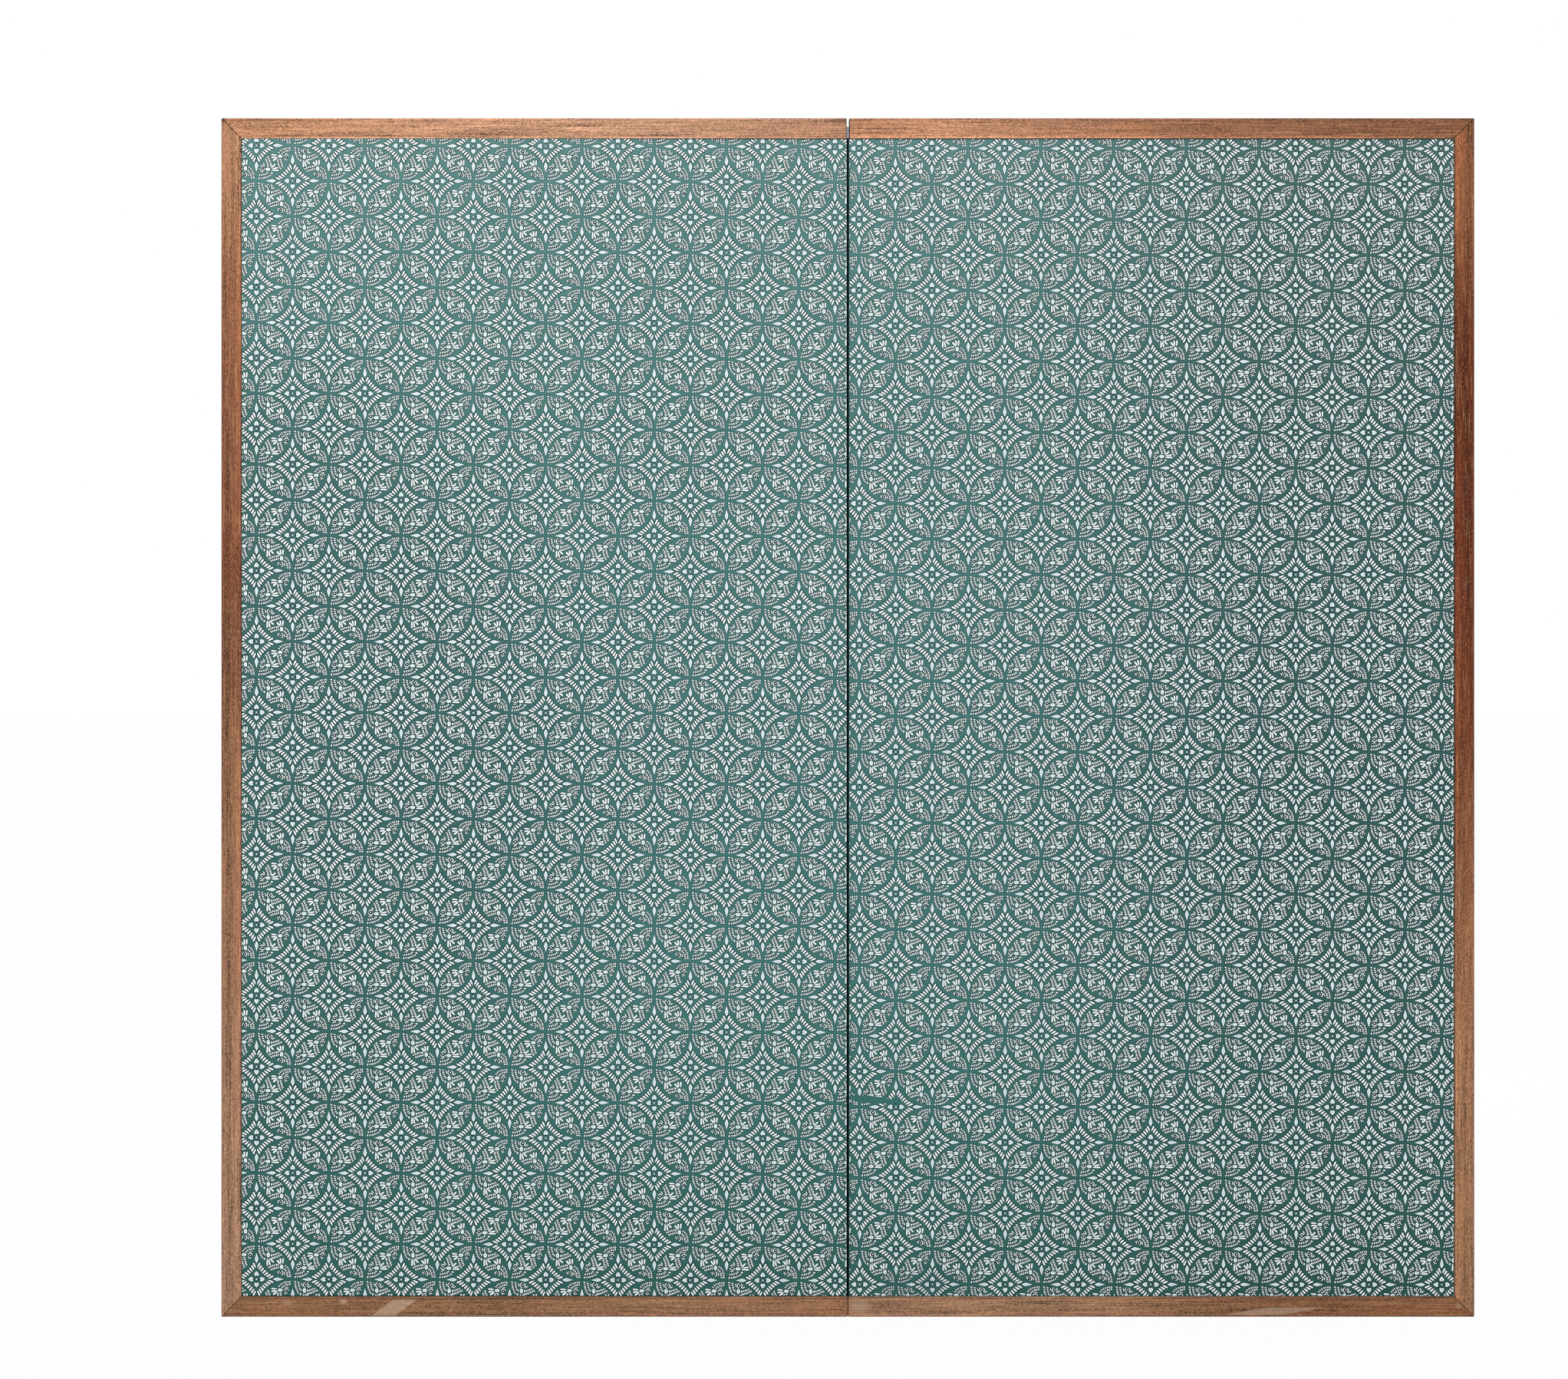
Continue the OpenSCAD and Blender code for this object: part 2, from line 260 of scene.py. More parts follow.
innerEdgeLightAndShade = {   # painted highlights (above 1) and painted shade lines (below 1) along a member's inner edge: how light, and where each starts, fills and ends
    "left_frame_top": [(1.20, -1, 0, 0.0012, 0.0022)],
    "right_frame_top": [(1.11, -1, 0, 0.0020, 0.0085), (1.12, -1, 0, 0.0014, 0.0040)],
    "left_frame_bottom": [(1.04, -1, 0, 0.0010, 0.0014), (0.88, 0.0010, 0.0014, 0.0022, 0.0030)],
    "right_frame_bottom": [(0.84, 0.0012, 0.0016, 0.0022, 0.0030), (1.09, 0.0024, 0.0030, 0.0036, 0.0046)],
    "left_frame_side": [(0.70, -1, 0, 0.0009, 0.0016), (1.08, 0.0012, 0.0018, 0.0028, 0.0040)],
    "right_frame_side": [(0.64, -1, 0, 0.0012, 0.0020), (1.08, 0.0016, 0.0026, 0.0036, 0.0050)],
}
# painted shade at the outer edge for these members; above 1, on the left top rail, it is a painted sheen
rimShade = {
    "left_frame_top": 1.08, "right_frame_top": 0.97,
    "left_frame_bottom": 0.84, "right_frame_bottom": 0.84,
}

wearMarks = [   # middle, half length, half height, slant, and how pale each slanting mark is
    (-0.6548, 0.0134, 0.0170, 0.0115, 1.4, 0.44), (0.6180, 0.0085, 0.0420, 0.0052, 6.0, 0.36),
    (-0.5700, 0.0160, 0.0014, 0.0090, 0.5, 0.24), (-0.8820, 1.6890, 0.0014, 0.0070, 0.4, 0.34),
]
rubbedSpots = [   # middle, reach along and up, and how pale
    (0.0170, 0.0150, 0.0200, 0.0120, 0.30), (-0.7284, 0.0222, 0.0070, 0.0045, 0.55),
    (-0.8087, 0.0204, 0.0110, 0.0060, 0.24), (0.8820, 0.0160, 0.0070, 0.0045, 0.30),
]


def seen(lightness):   # from how light it looks to how much light it sends back
    return lightness ** 2.2


def wornPatches(wood, colour, fibre, speckle):   # pale places where the surface has been rubbed
    across = wood.axis(wood.place(), "x")
    up = wood.axis(wood.place(), "z")
    onBack = 1 - wood.step(wood.axis(wood.place(), "y"), *woodLook["backOnly"])
    for x, z, halfLong, halfHigh, slant, pale in wearMarks:
        lean = abs((across - x) - slant * (up - z)) / halfLong
        rise = abs(up - z) / halfHigh
        mark = ((1 - wood.step(lean + 0.6 * fibre, *woodLook["markEdge"]))
                * (1 - wood.step(rise + 0.6 * speckle, *woodLook["markEdge"])))
        colour = wood.mix(pale * onBack * mark * (0.55 + 0.9 * speckle), colour, paint(*woodLook["worn"]))
    for x, z, reachLong, reachHigh, pale in rubbedSpots:
        mark = wood.patch(wood.place(), (x, z), (reachLong, reachHigh), 0.3, 1.6 * (speckle - 0.5))
        colour = wood.mix(pale * onBack * mark, colour, paint(*woodLook["worn"]))
    return colour


def frameWood(member, run, tones):
    wood = Finish(member + "_wood", Specular_IOR_Level=0.2)
    place = wood.place()
    along = wood.axis(place, run)
    low, high = tones[0][0], tones[-1][0]
    stops = [((spot - low) / (high - low), paint(*tone)) for spot, tone in tones]
    base = wood.ramp((along - low) / (high - low), stops)

    def lie(alongRate, acrossRate):
        return (alongRate, acrossRate, acrossRate) if run == "x" else (acrossRate, acrossRate, alongRate)

    fibre = wood.noise(place, lie(9, 560), detail=3, roughness=0.62)
    figure = wood.noise(place, lie(2.6, 90), detail=2, shift=(3, 1, 7))
    speckle = wood.noise(place, lie(430, 900), detail=1, roughness=0.6, shift=(2, 6, 4))
    fleck = wood.noise(place, lie(220, 760), detail=1, roughness=0.6, shift=(9, 4, 2))
    thread = wood.noise(place, lie(22, 700), detail=2, roughness=0.6, shift=(4, 8, 1))
    pore = wood.noise(place, lie(60, 900), detail=1, shift=(5, 5, 5))
    light = woodLook["level"] + (woodLook["fibre"][run] * 2 * (fibre - 0.5)
                                 + woodLook["figure"][run] * 2 * (figure - 0.5)
                                 + woodLook["speckle"] * 2 * (speckle - 0.5))
    colour = wood.shade(base, light)
    streaked = woodLook["streakShare"] * wood.step(figure, 0.54, 0.70)
    colour = wood.mix(streaked, colour, paint(*woodLook["streak"]))
    pale = (woodLook["fleckShare"] * wood.step(fleck, 0.58, 0.74)
            + woodLook["threadShare"] * wood.step(thread, 0.54, 0.70))
    colour = wood.mix(pale, colour, paint(*woodLook["fleck"]))
    colour = wood.shade(colour, 1 - woodLook["poreDark"] * wood.step(pore, 0.58, 0.70))
    far = abs(wood.axis(place, "x"))                    # from the hinge
    rise = abs(wood.axis(place, "z") - screenSize["midHeight"])
    fromInner = far - screenSize["innerHalf"] if run == "z" else rise - screenSize["innerRise"]
    if run == "z":
        lift, start, end = woodLook["inner"]
        outside = wood.step(fromInner + 0.004 * figure, start, end)
        colour = wood.shade(colour, seen(lift) + (1 - seen(lift)) * outside)
    # painted highlight or painted shade along the inner edge, by how light each line is
    for light, start, full, fade, end in innerEdgeLightAndShade[member]:
        line = wood.step(fromInner, start, full) * (1 - wood.step(fromInner, fade, end))
        colour = wood.shade(colour, 1 + (seen(light) - 1) * line)
    # painted shade along the outer edge, a painted sheen where the lightness is above 1
    dark, start, full = woodLook["rim"]
    dark = rimShade.get(member, dark)
    colour = wood.shade(colour, 1 - (1 - seen(dark)) * wood.step(fromInner, start, full))
    colour = wornPatches(wood, colour, fibre, speckle)
    # painted shade deepening the narrow gap of each mitre
    near, end = woodLook["seam"]
    offMitre = abs((far - screenSize["halfWide"]) - (rise - screenSize["midHeight"]))
    colour = wood.shade(colour, 1 - woodLook["seamShade"] * (1 - wood.step(offMitre, near, end)))
    stainSize = woodLook["cornerStain"]
    stained = wood.patch(place, (-screenSize["halfWide"], screenSize["tall"]), (stainSize, stainSize), 0.2)
    colour = wood.mix(woodLook["stainShare"] * stained, colour, paint(*woodLook["stain"]))
    if run == "x":   # painted shade: the rails' ends are darkened where the gap between them lies in shade
        dark, near, end = woodLook["topEndShade"] if member.endswith("top") else woodLook["footEndShade"]
        share = woodLook["leftEase"] if member == "left_frame_top" else 1
        colour = wood.shade(colour, 1 - share * dark * (1 - wood.step(far, near, end)))
        if member == "left_frame_top":
            touch = woodLook["handled"]
            handled = wood.patch(place, touch["spot"], touch["reach"], 0.1, 0.8 * (fibre - 0.5))
            colour = wood.mix(touch["share"] * handled, colour, paint(*touch["tone"]))
    height = fibre * 0.6 + 0.4 * speckle - 0.5 * wood.step(pore, 0.58, 0.70)
    rough = 0.62 + 0.16 * fibre
    return wood.set(Base_Color=colour, Roughness=rough, Normal=wood.bump(height, 0.35, 0.0004))


for member, facts in frameMembers.items():
    memberWood = frameWood(member, facts["run"], facts["tones"])
    wear(member, memberWood)
    if facts["run"] == "x":   # the keys let into the mitres are of the rails' wood
        wear(member.replace("frame", "key"), memberWood)
print("frame wood finished")

ground = {   # the printed paper's green-blue, from bottom to top along the hinge; darker at the foot, partly the paper faded at the top, partly painted shade where less light reaches the foot
    "tones": [(0.03, (46, 99, 94)), (0.18, (52, 108, 103)), (0.45, (63, 119, 115)), (0.75, (64, 117, 115)),
              (1.00, (69, 121, 119)), (1.28, (73, 124, 121)), (1.55, (83, 132, 129)), (1.70, (91, 138, 135))],
    "rightLoss": (0.40, 0.10, 0.68),     # how much darker the right panel's outer side is, from where to where
    "leftLoss": 0.24,
    "leftDark": ((-0.95, 0.76), (0.70, 0.80)),
    "lowEase": 0.35,                     # the foot of the right panel is more even
}

blemishesAndShadeLines = {   # middle and reach, in metres; the three lines are painted shade along the frame
    "bare": [((0.0330, 0.3136), (0.0350, 0.0058), 0.09),    # the print missed here: middle, reach, slope
             ((0.0708, 0.3112), (0.0070, 0.0046), 0.0)],
    "faded": [((0.105, 0.049), (0.085, 0.035))],
    "fadedInk": (200, 215, 222),
    "topShadeLine": (0.92, 0.0009, 0.0020),      # painted shade: a dark line where the paper meets the frame, and its width
    "footShadeLine": (0.97, 0.0011, 0.0019),
    "sideShadeLine": (0.45, 0.0001, 0.0012),
}


def dyedAndShadedGround(paper, place):   # the ground colour with its painted shade wherever it shows, so every print piece shares it
    along = paper.axis(place, "x")
    height = paper.axis(place, "z")
    low, high = ground["tones"][0][0], ground["tones"][-1][0]
    stops = [((spot - low) / (high - low), paint(*tone)) for spot, tone in ground["tones"]]
    base = paper.ramp((height - low) / (high - low), stops)
    cloud = paper.noise(place, (3.2, 3.2, 3.2), detail=3, roughness=0.6)
    fibre = paper.noise(place, (260, 260, 420), detail=3, roughness=0.7, shift=(2, 2, 2))
    loss, start, end = ground["rightLoss"]
    ease = 1 - ground["lowEase"] * (1 - paper.step(height, 0.05, 0.60))
    light = (1 - loss * ease * paper.step(along, start, end)
             - ground["leftLoss"] * paper.patch(place, *ground["leftDark"]))
    light = light * (0.955 + 0.09 * cloud) * (0.91 + 0.18 * fibre)
    return paper.shade(base, light), fibre


def edgeShade(paper, place):   # painted shade along the frame, in the corner where the paper meets it
    height = paper.axis(place, "z")
    along = paper.axis(place, "x")
    left = 1 - paper.step(along, -0.01, 0.01)
    inward = paper.step(along, -0.60, -0.05)
    lines = ((blemishesAndShadeLines["topShadeLine"], screenSize["paperTop"] - height, inward),
             (blemishesAndShadeLines["footShadeLine"], height - screenSize["paperFoot"], 0.60 + 0.40 * left),
             (blemishesAndShadeLines["sideShadeLine"], screenSize["innerHalf"] - abs(along), 1.0))
    shade = 1
    for (dark, near, end), away, share in lines:
        shade = shade * (1 - dark * share * (1 - paper.step(away, near, end)))
    return shade


def bareness(paper, place):
    edge = 0.7 * (paper.noise(place, (620, 620, 620), detail=2, shift=(7, 3, 1)) - 0.5)
    printed = 1
    for (x, z), (reach, rise), slope in blemishesAndShadeLines["bare"]:
        across = paper.axis(place, "x") - x
        up = (paper.axis(place, "z") - z + slope * across) / rise
        across = across / reach
        printed = printed * paper.step(across * across + up * up + edge, 0.72, 1.08)
    return (1 - printed) * paper.step(paper.axis(place, "x"), 0.0, 0.0015)   # only on the right panel


def groundPaper(name, shadedInGap=False):
    paper = Finish(name, Specular_IOR_Level=0.3)
    place = paper.place()
    colour, fibre = dyedAndShadedGround(paper, place)
    colour = paper.shade(colour, edgeShade(paper, place))
    if shadedInGap:   # painted shade: within the hinge gap the paper is nearly black
        along = paper.axis(place, "x")
        inGap = 1 - paper.step(abs(along), *hingeStrips["gapEdge"])
        colour = paper.mix(hingeStrips["gapShade"] * inGap, colour, paint(*hingeStrips["tone"]))
    return paper.set(Base_Color=colour, Roughness=0.78 + 0.12 * fibre,
                     Normal=paper.bump(fibre, 0.25, 0.0003))


def washi(name, tone, fleckTone, cloudiness):
    paper = Finish(name, Specular_IOR_Level=0.3)
    place = paper.place()
    cloud = paper.noise(place, (5, 5, 5), detail=4, roughness=0.62)
    fibre = paper.noise(place, (70, 70, 340), detail=4, roughness=0.7, shift=(1, 6, 3))
    strand = paper.noise(place, (420, 420, 60), detail=3, roughness=0.65, shift=(8, 2, 5))
    colour = paper.shade(paint(*tone), 1 - cloudiness * (1 - cloud) + 0.05 * fibre)
    threads = paper.step(fibre, 0.62, 0.70) + paper.step(strand, 0.64, 0.72)
    colour = paper.mix(0.30 * threads, colour, paint(*fleckTone))
    return paper.set(Base_Color=colour, Roughness=0.72 + 0.15 * cloud,
                     Normal=paper.bump(fibre + strand, 0.20, 0.0003))


hingeStrips = {   # the papers that cross the gap between the panels; their near-black is painted shade of the gap
    "tone": (12, 14, 14), "fibreTone": (24, 28, 27),
    "panelGap": 0.0030, "thick": 0.0004, "clear": 0.00001,
    "backEnd": -0.0087, "alongEdge": 0.0078,   # it lies along each panel's edge, and crosses between
    "apart": 0.00004, "bends": 10,
    "endGap": 0.0015, "smoothUnder": 40,       # half the space between two strips, and degrees
    "gapEdge": (0.00154, 0.00166), "gapShade": 0.85,
    "headTone": (186, 192, 210), "headFibre": (206, 210, 222),
}
groundFinish = groundPaper("printed_ground")
edgeFinish = groundPaper("edge_ground", shadedInGap=True)
hingeFinish = washi("hinge_paper", hingeStrips["tone"], hingeStrips["fibreTone"], 0.3)
headFinish = washi("hinge_paper_head", hingeStrips["headTone"], hingeStrips["headFibre"], 0.2)
hingeStrips["tails"] = [   # the outer strips run on between the rails: the strip, then each end's size; the dark foot tail is painted shade between the bottom rails
    (1, {"low": 0.0012, "high": 0.0300, "spot": (0, 0), "wide": 0.0174, "thick": 0.00028,
         "turn": math.pi / 2, "finish": hingeFinish}),
    (6, {"low": 1.6985, "high": 1.7014, "spot": (0, -0.0083), "wide": 0.0028, "thick": 0.0004,
         "turn": 0, "finish": hingeFinish}),
    (6, {"low": 1.7012, "high": 1.7177, "spot": (-0.00006, -0.0083), "wide": 0.00312, "thick": 0.0004,
         "turn": 0, "finish": headFinish}),
]
liningFinish = washi("lining_paper", (226, 217, 196), (196, 182, 152), 0.16)
frontFinish = washi("front_paper", (217, 203, 172), (190, 168, 126), 0.20)


def borderCloth(name):
    cloth = Finish(name, Sheen_Weight=0.3, Sheen_Roughness=0.5, Specular_IOR_Level=0.25)
    place = cloth.place()
    along, up = cloth.axis(place, "x"), cloth.axis(place, "z")
    weft = cloth.node("Math", {"operation": "SINE"}, {0: up * 5200.0})
    warp = cloth.node("Math", {"operation": "SINE"}, {0: along * 5200.0})
    weave = 0.5 + 0.25 * weft + 0.25 * warp
    slub = cloth.noise(place, (30, 30, 700), detail=3, roughness=0.6)
    colour = cloth.mix(weave, paint(72, 62, 48), paint(104, 92, 70))
    colour = cloth.shade(colour, 0.82 + 0.36 * slub)
    return cloth.set(Base_Color=colour, Roughness=0.72 + 0.14 * slub,
                     Normal=cloth.bump(weave, 0.4, 0.0002))


def latticeWood(name, run):
    wood = Finish(name, Specular_IOR_Level=0.3)
    place = wood.place()
    lie = {"x": (8, 260, 260), "z": (260, 260, 8)}[run]
    fibre = wood.noise(place, lie, detail=3, roughness=0.6)
    ring = wood.noise(place, tuple(r * 0.22 for r in lie), detail=2)
    colour = wood.mix(wood.step(ring, 0.35, 0.7), paint(214, 178, 132), paint(188, 146, 100))
    colour = wood.shade(colour, 0.86 + 0.28 * fibre)
    return wood.set(Base_Color=colour, Roughness=0.66 + 0.14 * fibre,
                    Normal=wood.bump(fibre, 0.3, 0.0004))


uprightWood = latticeWood("lattice_wood_upright", "z")
levelWood = latticeWood("lattice_wood_level", "x")
clothFinish = borderCloth("border_cloth")

insideFinishes = {
    "core_hinge_stile": uprightWood, "core_outer_stile": uprightWood, "core_uprights": uprightWood,
    "core_top_rail": levelWood, "core_bottom_rail": levelWood, "core_levels": levelWood,
    "back_lining": liningFinish, "front_lining": liningFinish, "front_paper": frontFinish,
    "back_paper": groundFinish, "edge_paper": edgeFinish,
    "border_top": clothFinish, "border_bottom": clothFinish, "border_side": clothFinish,
}
for side in ("left", "right"):
    for part, finish in insideFinishes.items():
        wear(side + "_" + part, finish)
    for number in range(1, 7):
        wear(f"{side}_flap_{number}", hingeFinish)
for number in range(1, 7):
    wear(f"hinge_strip_{number}", hingeFinish)
print("papers, cloth and lattice finished")

room = {"floorSize": 240.0, "pale": (0.90, 0.90, 0.895), "worldLevel": 0.66, "whiteShare": 0.95}


def makeFloor():
    bpy.ops.object.select_all(action="DESELECT")
    bpy.ops.mesh.primitive_plane_add(size=room["floorSize"], location=(0, 0, 0))
    floor = bpy.context.object
    floor.name = "floor"
    plain = Finish("floor_plain", Roughness=0.9, Base_Color=(*room["pale"], 1.0), Specular_IOR_Level=0.1)
    tree = plain.tree
    straightView = plain.node("LightPath", out="Is Camera Ray")
    white = plain.node("Emission", sockets={"Color": (1, 1, 1, 1), "Strength": 1.0})
    floorMix = plain.node("MixShader", sockets={0: room["whiteShare"] * straightView, 2: white})
    tree.links.new(plain.shader.outputs[0], floorMix.socket.node.inputs[1])
    tree.links.new(floorMix.socket, tree.nodes["Material Output"].inputs["Surface"])
    floor.data.materials.append(plain.material)


def makeWorld():
    world = bpy.data.worlds.new("studio")
    world.use_nodes = True
    tree = world.node_tree
    backdrop = tree.nodes["Background"]
    backdrop.inputs["Color"].default_value = (1, 1, 1, 1)
    rays = tree.nodes.new("ShaderNodeLightPath")
    straight = tree.nodes.new("ShaderNodeMath")
    straight.operation = "MAXIMUM"
    tree.links.new(rays.outputs["Is Camera Ray"], straight.inputs[0])
    tree.links.new(rays.outputs["Is Glossy Ray"], straight.inputs[1])
    also = tree.nodes.new("ShaderNodeMath")
    also.operation = "MAXIMUM"
    tree.links.new(straight.outputs[0], also.inputs[0])
    tree.links.new(rays.outputs["Is Transmission Ray"], also.inputs[1])
    level = tree.nodes.new("ShaderNodeMapRange")
    level.inputs["To Min"].default_value = room["worldLevel"]
    level.inputs["To Max"].default_value = 1.0
    tree.links.new(also.outputs[0], level.inputs["Value"])
    tree.links.new(level.outputs[0], backdrop.inputs["Strength"])
    bpy.context.scene.world = world


makeFloor()
makeWorld()
print("floor and world set")

inkRise = (0.0, 1.9)   # from where to where the low tone of an ink turns into the high one; the darker low tones are painted shade where the light falls off towards the foot


def inkFinish(name, lowTone, highTone):   # the white at the foot of the screen and at its top; the foot's lower tone is painted shade
    ink = Finish(name, Specular_IOR_Level=0.25)
    place = ink.place()
    plain = dyedAndShadedGround(ink, place)[0]
    speck = ink.noise(place, (330, 330, 330), detail=2, roughness=0.6, shift=(4, 4, 4))
    colour = ink.mix(ink.step(ink.axis(place, "z"), *inkRise), paint(*lowTone), paint(*highTone))
    colour = ink.shade(colour, 0.96 + 0.06 * speck)
    for spot, reach in blemishesAndShadeLines["faded"]:
        colour = ink.mix(0.6 * ink.patch(place, spot, reach, 0.3), colour, paint(*blemishesAndShadeLines["fadedInk"]))
    colour = ink.mix(bareness(ink, place), colour, plain)
    colour = ink.shade(colour, edgeShade(ink, place))
    return ink.set(Base_Color=colour, Roughness=0.7 + 0.1 * speck)


def poolFinish(name, lowTone, highTone, share):
    dye = Finish(name, Specular_IOR_Level=0.04)
    place = dye.place()
    plain, fibre = dyedAndShadedGround(dye, place)
    # painted shade: the pooled dye is darker towards the foot as well
    pooled = dye.mix(dye.step(dye.axis(place, "z"), *inkRise), paint(*lowTone), paint(*highTone))
    colour = dye.mix(share * (1 - bareness(dye, place)), plain, pooled)
    colour = dye.shade(colour, edgeShade(dye, place))
    return dye.set(Base_Color=colour, Roughness=0.75 + 0.12 * fibre)


whiteInk = inkFinish("white_ink", (245, 255, 255), (248, 255, 255))
paleInk = inkFinish("pale_ink", (208, 228, 240), (219, 236, 246))
pooledDye = poolFinish("pooled_dye", (2, 32, 30), (13, 50, 48), 0.94)
print("inks mixed")

inkStep = 0.0000035   # every mark is a flat shape of ink, and neighbours lie this far apart in depth
inkSteps = 9          # after so many marks the depths begin again
unit = 0.001          # the motif is drawn in 120ths of its repeat, and sized to the sheet afterwards
halfRepeat = 60
motifSize = 0.12
faceTurn = math.pi / 2


def clearChoice():
    bpy.ops.object.select_all(action="DESELECT")


def nowEditing(obj):
    clearChoice()
    obj.select_set(True)
    bpy.context.view_layer.objects.active = obj
    bpy.ops.object.mode_set(mode="EDIT")


def doneEditing():
    bpy.ops.object.mode_set(mode="OBJECT")


def choosePoints(obj, wanted):   # in edit mode: picks the points whose place passes the test
    bpy.ops.mesh.select_all(action="DESELECT")
    doneEditing()
    for point in obj.data.vertices:
        point.select = bool(wanted(point.co.x / unit, point.co.z / unit))
    bpy.ops.object.mode_set(mode="EDIT")


def chooseFaces(obj, wanted):
    bpy.ops.mesh.select_all(action="DESELECT")
    doneEditing()
    for face in obj.data.polygons:
        face.select = bool(wanted(face.center.x / unit, face.center.z / unit))
    bpy.ops.object.mode_set(mode="EDIT")


def roundMark(name, corners, turn=0.0, inks=()):   # one unit long and wide, facing the back
    clearChoice()
    bpy.ops.mesh.primitive_circle_add(vertices=corners, radius=0.5 * unit, fill_type="NGON",
                                      rotation=(faceTurn, 0, 0))
    mark = bpy.context.object
    mark.name = name
    for ink in inks:
        mark.data.materials.append(ink)
    bpy.ops.object.transform_apply(location=False, rotation=True, scale=False)
    if turn:
        nowEditing(mark)
        bpy.ops.mesh.select_all(action="SELECT")
        bpy.ops.transform.rotate(value=turn, orient_axis="Y", center_override=(0, 0, 0))
        doneEditing()
    return mark


def widen(mark, low, high, factor):   # sizes the mark's points that lie between low and high along it
    choosePoints(mark, lambda x, z: low < x < high)
    bpy.ops.transform.resize(value=(1, 1, factor), center_override=(0, 0, 0))


def brushMark(name, corners, near, far, inks):   # a dash from -0.5 to 0.5; near and far size its two ends
    mark = roundMark(name, corners, math.pi / corners, inks)
    nowEditing(mark)
    reach = math.cos(math.pi / corners)
    evenOut = reach if corners == 6 else 1
    bpy.ops.mesh.select_all(action="SELECT")
    bpy.ops.transform.resize(value=(1 / reach, 1, evenOut / reach), center_override=(0, 0, 0))
    widen(mark, -0.6, -0.4, near)
    widen(mark, 0.4, 0.6, far)
    if near > far:   # a stroke that starts blunt and runs out
        widen(mark, 0.1, 0.4, 0.62 + 0.38 * far)
        choosePoints(mark, lambda x, z: -0.4 < x < -0.1)
        bpy.ops.transform.translate(value=(-0.12 * unit, 0, 0))
    doneEditing()
    return mark


petal = {"wide": 7.9, "long": 8.8, "middle": 9.1, "notch": 1.9, "shoulder": 0.75, "tip": 0.46}
kite = {"wide": 6.2, "long": 13.4, "middle": 34.1, "farStretch": 1.62, "farWaist": 0.37, "nearWaist": 0.62}


def petalMark(name, grow, notch, inks):
    mark = roundMark(name, 12, 0, inks)
    nowEditing(mark)
    bpy.ops.mesh.select_all(action="SELECT")
    bpy.ops.transform.resize(value=(petal["wide"] + 2 * grow, 1, petal["long"] + 2 * grow),
                             center_override=(0, 0, 0))
    for low, high, factor in ((3.0, 4.9, petal["tip"]), (1.5, 3.0, petal["shoulder"])):
        choosePoints(mark, lambda x, z: low < z < high and abs(x) > 0.5)
        bpy.ops.transform.resize(value=(factor, 1, 1), center_override=(0, 0, 0))
    choosePoints(mark, lambda x, z: abs(z) < 0.5)    # the widest place lies towards the star's middle
    bpy.ops.transform.translate(value=(0, 0, -0.8 * unit))
    choosePoints(mark, lambda x, z: abs(x) < 0.4 and z > 0)
    bpy.ops.transform.translate(value=(0, 0, 0.3 * unit))
    choosePoints(mark, lambda x, z: abs(x) < 0.4 and z < 0)
    bpy.ops.transform.translate(value=(0, 0, notch * unit))
    bpy.ops.mesh.select_all(action="SELECT")
    bpy.ops.transform.translate(value=(0, 0, petal["middle"] * unit))
    doneEditing()
    return mark


def kiteMark(name, grow, inks):
    mark = roundMark(name, 8, 0, inks)
    nowEditing(mark)
    bpy.ops.mesh.select_all(action="SELECT")
    bpy.ops.transform.resize(value=(kite["wide"] + 2 * grow, 1, kite["long"] + 2 * grow),
                             center_override=(0, 0, 0))
    choosePoints(mark, lambda x, z: z < -1 and abs(x) > 0.5)
    bpy.ops.transform.resize(value=(kite["nearWaist"], 1, 1), center_override=(0, 0, 0))
    choosePoints(mark, lambda x, z: z > 1)    # the far half is drawn out
    bpy.ops.transform.resize(value=(kite["farWaist"], 1, kite["farStretch"]), center_override=(0, 0, 0))
    bpy.ops.mesh.select_all(action="SELECT")
    bpy.ops.transform.translate(value=(0, 0, kite["middle"] * unit))
    doneEditing()
    return mark


def crescentMark(name, radius, thick, inks):
    ring = roundMark(name, 16, math.pi / 16, inks)
    nowEditing(ring)
    bpy.ops.mesh.select_all(action="SELECT")
    size = 2 * radius + thick
    bpy.ops.transform.resize(value=(size, 1, size), center_override=(0, 0, 0))
    bpy.ops.mesh.inset(thickness=thick * unit)
    chooseFaces(ring, lambda x, z: z < radius * 0.28 or math.hypot(x, z) < radius * 0.5)
    bpy.ops.mesh.delete(type="FACE")
    doneEditing()
    return ring


def inkCentre(mark, middle, share):   # paler ink in the middle of the broad marks
    nowEditing(mark)
    bpy.ops.mesh.select_all(action="SELECT")
    bpy.ops.mesh.inset(thickness=0)
    bpy.ops.transform.resize(value=(share, 1, share), center_override=(0, 0, middle * unit))
    mark.active_material_index = 1
    bpy.ops.object.material_slot_assign()
    doneEditing()


def lay(mark, spot, size=(1, 1), turn=0.0):   # one copy of a mark, with its own mesh
    copy = mark.copy()
    copy.data = mark.data.copy()
    copy.location = (spot[0] * unit, 0, spot[1] * unit)
    copy.rotation_euler = (0, -math.radians(turn), 0)
    copy.scale = (size[0], 1, size[1])
    bpy.context.scene.collection.objects.link(copy)
    return copy


def layBetween(mark, start, end, width, grow):
    across, up = end[0] - start[0], end[1] - start[1]
    middle = ((start[0] + end[0]) / 2, (start[1] + end[1]) / 2)
    return lay(mark, middle, (math.hypot(across, up) + 2 * grow, width + 2 * grow),
               math.degrees(math.atan2(up, across)))


star = {
    "rayCount": 7, "rayOuter": 63.4, "rayInner": 71.4, "rayOuterStep": 4.8, "rayInnerStep": 3.4,
    "rayWide": 3.05, "rayBleed": 1.0,
    "dot": 2.6,
}

